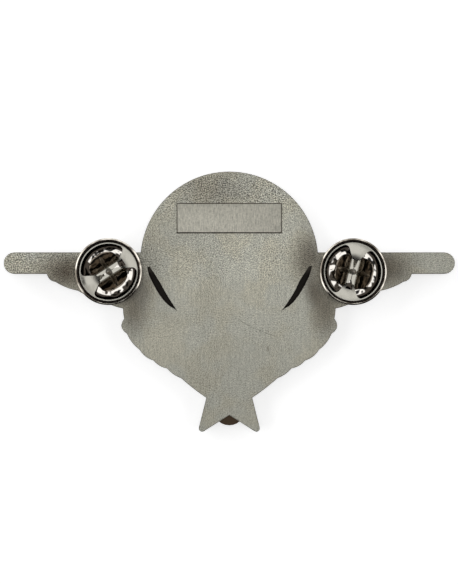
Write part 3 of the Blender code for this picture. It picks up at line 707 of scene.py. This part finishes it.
# butterfly clutch: round cup with a shoulder and a rolled edge
cupSetup = {
    "color": (0.86, 0.825, 0.77),
    "dullColor": (0.70, 0.64, 0.56),
    # dark colour for painted shade and dark reflections
    "paintedShade": (0.05, 0.042, 0.034),
    "wearAndReflectionNoise": (1.2, 3.0, 0.5),
    "wearTone": (0.45, 0.75, 0.0, 0.4),
    # painted shade and dark reflection round the nozzle and in the corner
    "paintedShadeReach": ((1.9, 2.1), (3.1, 3.3, 1.0, 0.0), (4.02, 4.22)),
    "floorZoneHeight": 1.2,
    "reflectionBlotNoise": (0.55, 1.0),  # painted dark reflections in blots on the floor
    "reflectionBlotRange": (0.5, 0.55),
    "rimColor": (0.75, 0.70, 0.62),
    # painted dark reflections on the rolled edge
    "rimDarkReflection": (0.19, 0.165, 0.135),
    "rimNoise": (0.35, 2.0, 0.6),
    "rimRange": (0.42, 0.62),
    "hemShade": ((5.44, 5.5, 1.0, 0.0), (5.79, 5.82)),  # painted shade and dark reflection inside the rolled edge and down its outside
    "edgeTint": (0.3, 0.28, 0.25),
    "waves": 0.34 * mm,  # thin pressed floor
    "waveNoise": (0.6, 1.0),
    "roughness": (0.3, 0.7, 0.025, 0.095),
    "sheet": 0.35 * mm,
    "hole": 0.62 * mm,
    "nozzleHeight": 0.15 * mm,
    "shoulder": 1.25 * mm,
    "shoulderWidth": 0.5 * mm,
    "corner": 0.8 * mm,
    "flare": 0.2 * mm,
    "bend": 0.22 * mm,
    "arcSteps": (6, 10, 4),  # of the flare, the corner and the bends
    "floorLevel": 2.7 * mm,  # level round the nozzle, then falling to the wall
    "floorFall": math.radians(9.0),
    # rolled edge from its inside over the top to its outside, from the cup's outer top corner
    "hem": [(x * mm, z * mm) for x, z in (
        (-0.36, -0.33), (-0.385, -0.24), (-0.375, -0.15), (-0.34, -0.07), (-0.29, -0.018), (-0.25, 0.0),
        (-0.22, -0.004), (-0.2, -0.014), (-0.04, -0.108), (-0.022, -0.122), (-0.006, -0.145),
        (0.0, -0.18), (0.0, -0.26))],
    "wallTop": 0.39 * mm,
    "steps": 112,
    "smoothAngle": 50.0,
}


def addRadius(tree, place, side):
    # distance from the post's axis in millimetres
    pivot = jointByName[side + "_clutch_turn"]["pos_m"]
    offset = addVectorMath(tree, "SUBTRACT", place, [v / mm for v in pivot])
    level = addVectorMath(tree, "MULTIPLY", offset, (1.0, 1.0, 0.0))
    return addVectorMath(tree, "LENGTH", level, (0.0, 0.0, 0.0))


def cupMetal(side):
    setup = cupSetup
    material, tree, shader = newMetal(side + "NickelCup")
    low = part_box(side + "_clutch_cup")[0]
    place = millimetres(tree)
    split = addSplit(tree, place)
    radius = addRadius(tree, place, side)
    onFloor = addMath(tree, "LESS_THAN", split["Z"], low.z / mm + setup["floorZoneHeight"])
    offFloor = addMath(tree, "SUBTRACT", 1.0, onFloor)
    wearAndReflection = addNoise(tree, place, *setup["wearAndReflectionNoise"])
    color = addMix(tree, addRange(tree, wearAndReflection, *setup["wearTone"]), setup["color"], setup["dullColor"])
    # painted dark reflections break up the rolled edge
    rimReflectionMask = addRange(tree, addNoise(tree, place, *setup["rimNoise"]), *setup["rimRange"])
    rim = addMix(tree, rimReflectionMask, setup["rimColor"], setup["rimDarkReflection"])
    color = addMix(tree, offFloor, color, rim)

    # painted shade and dark reflections on the floor and at the rolled edge
    start, end, corner = setup["paintedShadeReach"]
    paintedShade = times(tree, addRange(tree, radius, *start), addRange(tree, radius, *end))
    paintedShade = addMath(tree, "MAXIMUM", paintedShade, addRange(tree, radius, *corner))
    reflectionBlots = addRange(tree, addNoise(tree, place, *setup["reflectionBlotNoise"]), *setup["reflectionBlotRange"])
    paintedShade = times(tree, addMath(tree, "MAXIMUM", paintedShade, reflectionBlots), onFloor)
    within, outside = setup["hemShade"]
    hem = addMath(tree, "MAXIMUM", addRange(tree, radius, *within), addRange(tree, radius, *outside))
    hem = times(tree, hem, offFloor)
    color = addMix(tree, addMath(tree, "MAXIMUM", paintedShade, hem), color, setup["paintedShade"])
    plug(tree, color, shader.inputs["Base Color"])
    shader.inputs["Specular Tint"].default_value = (*setup["edgeTint"], 1.0)
    plug(tree, addRange(tree, wearAndReflection, *setup["roughness"]), shader.inputs["Roughness"])
    waves = times(tree, addNoise(tree, place, *setup["waveNoise"]), onFloor)
    plug(tree, addBump(tree, waves, 1.0, setup["waves"]), shader.inputs["Normal"])
    return material


def sheetLoop(line, thickness):
    # both faces of a bent sheet, up one side of its middle line and back down the other
    left = []
    right = []
    for i, point in enumerate(line):
        before = point - line[i - 1] if i else line[1] - point
        after = line[i + 1] - point if i + 1 < len(line) else before
        normalBefore = Vector((-before.y, before.x)).normalized()
        normalAfter = Vector((-after.y, after.x)).normalized()
        normal = (normalBefore + normalAfter).normalized()
        reach = thickness / 2 / normal.dot(normalAfter)
        left.append(point + normal * reach)
        right.append(point - normal * reach)
    return left + right[::-1]


def cupLine(low, high):
    # middle of the sheet, from the nozzle down over the floor and up the wall
    setup = cupSetup
    half = setup["sheet"] / 2
    wall = (high.x - low.x) / 2 - half
    inner = wall - setup["shoulderWidth"]
    corner = setup["corner"]
    hole = setup["hole"] + half
    shoulder = setup["shoulder"]
    bend = setup["bend"]
    flare = setup["flare"]
    tilt = setup["floorFall"]
    flareSteps, cornerSteps, bendSteps = setup["arcSteps"]
    quarter = math.pi / 2
    foot = Vector((inner - corner * (1 + math.sin(tilt)), half + corner * (1 - math.cos(tilt))))
    floorTop = foot.y + (foot.x - setup["floorLevel"]) * math.tan(tilt)
    line = [Vector((hole, floorTop + flare + setup["nozzleHeight"]))]
    line += arcPoints((hole + flare, floorTop + flare), flare, math.pi, 3 * quarter, flareSteps)
    line.append(Vector((setup["floorLevel"], floorTop)))
    line += arcPoints((inner - corner, half + corner), corner, -quarter - tilt, 0, cornerSteps)
    line += arcPoints((inner + bend, shoulder - bend), bend, math.pi, quarter, bendSteps)
    line += arcPoints((wall - bend, shoulder + bend), bend, -quarter, 0, bendSteps)
    line.append(Vector((wall, high.z - low.z - setup["wallTop"])))
    return line


def hemPoints(low, high):
    corner = Vector(((high.x - low.x) / 2, high.z - low.z))
    return [corner + Vector(p) for p in cupSetup["hem"]]


def makeCup(side, material):
    low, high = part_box(side + "_clutch_cup")
    middle = (low + high) / 2
    line = cupLine(low, high)
    loop = sheetLoop(line, cupSetup["sheet"])
    profile = loop[:len(line)] + hemPoints(low, high) + loop[len(line):]
    bm = bmesh.new()
    addLathe(bm, [tuple(p) for p in profile], cupSetup["steps"], (middle.x, middle.y, low.z))
    finishPiece(side + "ClutchCup", bm, material, side + "_cup",
                [side + "_clutch_cup"], cupSetup["smoothAngle"])


for side in ("left", "right"):
    makeCup(side, cupMetal(side))
print("cups made")


# butterfly clutch: spring plate with fans, tongue and fork
springSetup = {
    "color": (0.45, 0.435, 0.385),
    "dullColor": (0.33, 0.31, 0.265),
    "paintedShade": (0.035, 0.03, 0.025),
    "paintedShadeReach": (5.18, 5.25),  # painted shade and grime in the seam under the rolled edge
    "wearAndReflectionNoise": (0.5, 2.0, 0.5),
    "wearTone": (0.45, 0.75, 0.0, 0.4),
    "roughness": (0.3, 0.7, 0.09, 0.21),
    "sheet": 0.3 * mm,
    "openingRadius": 4.9 * mm,
    "openingCorner": 0.75 * mm,
    "openingStep": 0.15 * mm,
    "arcSteps": (8, 28),  # of the opening's corners and of its outer edge
    "fanAngle": math.radians(60.0),
    "neck": 0.70 * mm,
    "fanEdge": 2.30 * mm,
    "forkBase": (0.65 * mm, 3.15 * mm),
    "forkMouth": 0.45 * mm,
    "tongueTip": (0.12 * mm, 0.95 * mm),
    "tongueRoot": 0.38 * mm,
    "edgeRound": (0.07 * mm, 2),  # width and segments
    "step": (5.3 * mm, 5.1 * mm),
    "stepRise": 0.2 * mm,
    "flangeDrop": -0.1 * mm,
    "dip": (4.9 * mm, 3.7 * mm, 0.055, 0.4, 1.6),  # start, reach, first slope, added slope and its power
    "dipRings": [0.3 * mm * k for k in range(7, 16)],
    "rings": [r * mm for r in (5.3, 5.27, 5.24, 5.21, 5.18, 5.15, 5.1, 5.05, 4.97)],
    "steps": 128,
    "tolerance": 1e-9,
}


def springMetal(side):
    setup = springSetup
    material, tree, shader = newMetal(side + "NickelSpring")
    place = millimetres(tree)
    wearAndReflection = addNoise(tree, place, *setup["wearAndReflectionNoise"])
    color = addMix(tree, addRange(tree, wearAndReflection, *setup["wearTone"]), setup["color"], setup["dullColor"])
    # painted shade and grime under the rolled edge
    paintedShade = addRange(tree, addRadius(tree, place, side), *setup["paintedShadeReach"])
    plug(tree, addMix(tree, paintedShade, color, setup["paintedShade"]), shader.inputs["Base Color"])
    plug(tree, addRange(tree, wearAndReflection, *setup["roughness"]), shader.inputs["Roughness"])
    return material


def clutchPlace(side):
    # frame of the spring plate: the post's axis, with the band along its Y
    pivot = jointByName[side + "_clutch_turn"]["pos_m"]
    hinge = Vector(jointByName[side + "_inner_ear_squeeze"]["axis"])
    along = -hinge
    turn = math.atan2(-along.x, along.y)
    return Matrix.Translation(pivot) @ Matrix.Rotation(turn, 4, "Z")


def springOpening():
    setup = springSetup
    neck = Vector((setup["neck"], setup["fanEdge"]))
    along = Vector((math.cos(setup["fanAngle"]), math.sin(setup["fanAngle"])))
    within = Vector((along.y, -along.x))
    corner = setup["openingCorner"]
    start = neck + within * corner
    reach = setup["openingRadius"] - corner
    travel = -start.dot(along) + math.sqrt(start.dot(along) ** 2 - start.dot(start) + reach ** 2)
    centre = start + along * travel
    first = math.atan2(-within.y, -within.x)
    last = math.atan2(centre.y, centre.x)
    cornerSteps, outerSteps = setup["arcSteps"]
    upper = [neck] + arcPoints(centre, corner, first, last, cornerSteps)
    outer = arcPoints((0, 0), setup["openingRadius"], last, -last, outerSteps)
    lower = [Vector((p.x, -p.y)) for p in reversed(upper)]
    fork = [Vector(setup["forkBase"]), Vector((setup["forkMouth"], setup["fanEdge"]))]
    tongue = [Vector((setup["tongueRoot"], -setup["fanEdge"])),
              Vector((setup["tongueTip"][0], -setup["tongueTip"][1]))]
    right = fork + upper + outer[1:-1] + lower + tongue
    corners = right + [Vector((-p.x, p.y)) for p in reversed(right)]
    loop = []
    for a, b in zip(corners, corners[1:] + corners[:1]):
        parts = max(1, round((b - a).length / setup["openingStep"]))
        loop += [a.lerp(b, i / parts) for i in range(parts)]
    return loop


def insideLoop(point, loop):
    inside = False
    for a, b in zip(loop, loop[1:] + loop[:1]):
        if (a.y > point.y) != (b.y > point.y):
            if point.x < a.x + (b.x - a.x) * (point.y - a.y) / (b.y - a.y):
                inside = not inside
    return inside


def springHeight(radius):
    # the middle stands a little above the flange that the rolled edge holds
    start, end = springSetup["step"]
    share = min(1.0, max(0.0, (start - radius) / (start - end)))
    level = springSetup["flangeDrop"] + springSetup["stepRise"] * share * share * (3 - 2 * share)
    edge, reach, slope, added, power = springSetup["dip"]
    inwards = max(0.0, (edge - radius) / reach)
    return level - reach * (slope * inwards + added * inwards ** (power + 1) / (power + 1))


def makeSpringPlate(side, material):
    low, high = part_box(side + "_clutch_spring_plate")
    steps = springSetup["steps"]
    half = springSetup["sheet"] / 2
    radii = [(high.x - low.x) / 2] + springSetup["rings"]
    rings = [arcPoints((0, 0), radius, 0, math.tau, steps)[:-1] for radius in radii]
    opening = springOpening()
    edges = []
    for first, count in ((0, steps), (steps, len(opening))):
        edges += [(first + i, first + (i + 1) % count) for i in range(count)]
    inside = []
    for radius in springSetup["dipRings"]:
        ring = arcPoints((0, 0), radius, 0, math.tau, steps // 2)[:-1]
        inside += [p for p in ring if not insideLoop(p, opening)]
    points = rings[-1] + opening + inside
    flat, _, triangles = delaunay_2d_cdt(points, edges, [], 0, springSetup["tolerance"])[:3]
    bm = bmesh.new()

    def addFace(corners):
        bm.faces.new([bm.verts.new((p.x, p.y, springHeight(p.length) + offset)) for p, offset in corners])

    for offset in (-half, half):
        for outer, inner in zip(rings, rings[1:]):
            for i in range(steps):
                j = (i + 1) % steps
                addFace([(p, offset) for p in (outer[i], outer[j], inner[j], inner[i])])
        for corners in triangles:
            middle = sum((flat[i] for i in corners), Vector((0, 0))) / 3
            if not insideLoop(middle, opening):
                addFace([(flat[i], offset) for i in corners])
    for loop in (rings[0], opening):
        for a, b in zip(loop, loop[1:] + loop[:1]):
            addFace([(a, -half), (b, -half), (b, half), (a, half)])
    bmesh.ops.remove_doubles(bm, verts=bm.verts, dist=mergeDistance)
    bmesh.ops.transform(bm, matrix=clutchPlace(side), verts=bm.verts)
    piece = finishPiece(side + "ClutchSpringPlate", bm, material, side + "_spring_plate",
                        [side + "_clutch_spring_plate"])
    addBevel(piece, *springSetup["edgeRound"])


# butterfly clutch: two ears with the jaws at their roots
earSetup = {
    # dark ear colours are painted dark reflections, with darker painted patches
    "color": (0.24, 0.203, 0.162),
    "wearAndReflectionColor": (0.07, 0.057, 0.044),
    "wearAndReflectionNoise": (1.2, 3.0, 0.5),
    "wearAndReflectionRange": (0.45, 0.75),
    "jawRise": (0.1, 0.55),  # above the spring plate, where the bright jaw turns into the ear's painted dark reflection
    "roughness": (0.3, 0.7, 0.04, 0.1),
    "hingeReach": 0.62 * mm,
    "jawHalf": 2.15 * mm,
    "jawRows": (1.0, 0.5),
    "slotHalf": 0.06 * mm,
    "jawFall": 0.09,
    "flareStart": 1.4 * mm,
    "notch": 0.53 * mm,
    "tongueGap": 0.08 * mm,
    "length": 3.95 * mm,
    "drop": springHeight(2.25 * mm) - springHeight(4.9 * mm),  # how far the fans dip at the jaws
    "widest": 1.0 * mm,
    "width": 5.5 * mm,
    "endPower": 2.4,
    "endMargin": 0.05 * mm,  # keeps the end from closing to a point
    "bend": 0.5 * mm,
    "lift": math.radians(59.0),
    "tipLift": math.radians(43.0),  # the free end leans out
    "leanSteps": 24,
    "dents": 0.09 * mm,
    "dentNoise": (0.75, 1.0),
    "columns": 40,
    "columnPower": 1.3,  # closer columns in the middle
    "bendRows": 6,
    "leafRows": 12,
    "edgeRound": (0.13 * mm, 3, 60.0),  # width, segments and angle
}


def jawEdge(along):
    spring = springSetup
    edge = earSetup["slotHalf"]
    if along > earSetup["flareStart"]:
        share = (along - earSetup["flareStart"]) / (spring["fanEdge"] - earSetup["flareStart"])
        edge += (spring["forkMouth"] - edge) * share
    tipHalf, tip = spring["tongueTip"]
    if along < earSetup["tongueGap"] - tip:
        share = max(0.0, (-along - tip) / (spring["fanEdge"] - tip))
        edge = earSetup["tongueGap"] + tipHalf + (spring["tongueRoot"] - tipHalf) * share
    if abs(along) < earSetup["notch"]:
        edge = max(edge, math.sqrt(earSetup["notch"] ** 2 - along ** 2))
    return edge


def earHalfWidth(distance):
    jaw = earSetup["jawHalf"]
    full = earSetup["width"] / 2
    if distance < earSetup["widest"]:
        return jaw + (full - jaw) * math.sin(distance / earSetup["widest"] * math.pi / 2)
    power = earSetup["endPower"]
    end = earSetup["length"] + earSetup["endMargin"]
    rest = (distance - earSetup["widest"]) / (end - earSetup["widest"])
    return full * (1 - rest ** power) ** (1 / power)


def earPoint(distance):
    # reach and height of the ear's middle line, round the bend and then leaning out
    lift = earSetup["lift"]
    bend = min(distance / earSetup["bend"], lift)
    x = earSetup["bend"] * math.sin(bend)
    z = earSetup["bend"] * (1 - math.cos(bend))
    start = earSetup["bend"] * lift
    steps = earSetup["leanSteps"]
    part = (distance - start) / steps
    if part > 0:
        for i in range(steps):
            share = (part * (i + 0.5)) / (earSetup["length"] - start)
            lean = lift + (earSetup["tipLift"] - lift) * share
            x += part * math.cos(lean)
            z += part * math.sin(lean)
    return x, z


def earStations():
    bendLength = earSetup["bend"] * earSetup["lift"]
    leafLength = earSetup["length"] - bendLength
    bendRows = earSetup["bendRows"]
    leafRows = earSetup["leafRows"]
    stations = [bendLength * i / bendRows for i in range(bendRows + 1)]
    for i in range(1, leafRows + 1):
        stations.append(bendLength + leafLength * math.sin(i / leafRows * math.pi / 2))
    return stations


def makeEar(side, ear, material):
    sign = 1 if ear == "inner" else -1
    reach = earSetup["hingeReach"]
    jaw = earSetup["jawHalf"]
    shares = []
    for i in range(earSetup["columns"] + 1):
        share = 2 * i / earSetup["columns"] - 1
        shares.append(math.copysign(abs(share) ** earSetup["columnPower"], share))
    rows = []
    for inwards in earSetup["jawRows"]:
        row = []
        for s in shares:
            inner = (jawEdge(jaw * s) - reach) * inwards
            row.append((reach + inner, jaw * s, inner * earSetup["jawFall"]))
        rows.append(row)
    for distance in earStations():
        x, z = earPoint(distance)
        half = earHalfWidth(distance)
        rows.append([(reach + x, half * s, z) for s in shares])
    bm = bmesh.new()
    grid = [[bm.verts.new((x * sign, y, z + earSetup["drop"])) for x, y, z in row] for row in rows]
    for r in range(len(grid) - 1):
        for c in range(len(shares) - 1):
            bm.faces.new((grid[r][c], grid[r][c + 1], grid[r + 1][c + 1], grid[r + 1][c]))
    bmesh.ops.transform(bm, matrix=clutchPlace(side), verts=bm.verts)
    name = side + "Clutch" + ear.capitalize() + "Ear"
    piece = finishPiece(name, bm, material, f"{side}_{ear}_ear",
                        [f"{side}_clutch_{ear}_ear"])
    thick = piece.modifiers.new("sheet", "SOLIDIFY")
    thick.thickness = springSetup["sheet"]
    thick.offset = 0.0
    thick.use_even_offset = True
    addBevel(piece, *earSetup["edgeRound"])


def earMetal():
    setup = earSetup
    material, tree, shader = newMetal("nickelEar")
    place = millimetres(tree)
    split = addSplit(tree, place)
    # painted dark reflections over the ear, with the jaw kept in the spring's colour
    wearAndReflection = addNoise(tree, place, *setup["wearAndReflectionNoise"])
    color = addMix(tree, addRange(tree, wearAndReflection, *setup["wearAndReflectionRange"]), setup["color"], setup["wearAndReflectionColor"])
    level = (jointByName["left_inner_ear_squeeze"]["pos_m"][2] + setup["drop"]) / mm
    onEar = addRange(tree, addMath(tree, "SUBTRACT", split["Z"], level), *setup["jawRise"])
    plug(tree, addMix(tree, onEar, springSetup["color"], color), shader.inputs["Base Color"])
    plug(tree, addRange(tree, wearAndReflection, *setup["roughness"]), shader.inputs["Roughness"])
    dents = times(tree, addNoise(tree, place, *setup["dentNoise"]), onEar)
    plug(tree, addBump(tree, dents, 1.0, setup["dents"]), shader.inputs["Normal"])
    return material


earFinish = earMetal()
for side in ("left", "right"):
    makeSpringPlate(side, springMetal(side))
    for ear in ("inner", "outer"):
        makeEar(side, ear, earFinish)
print("spring plates and ears made")
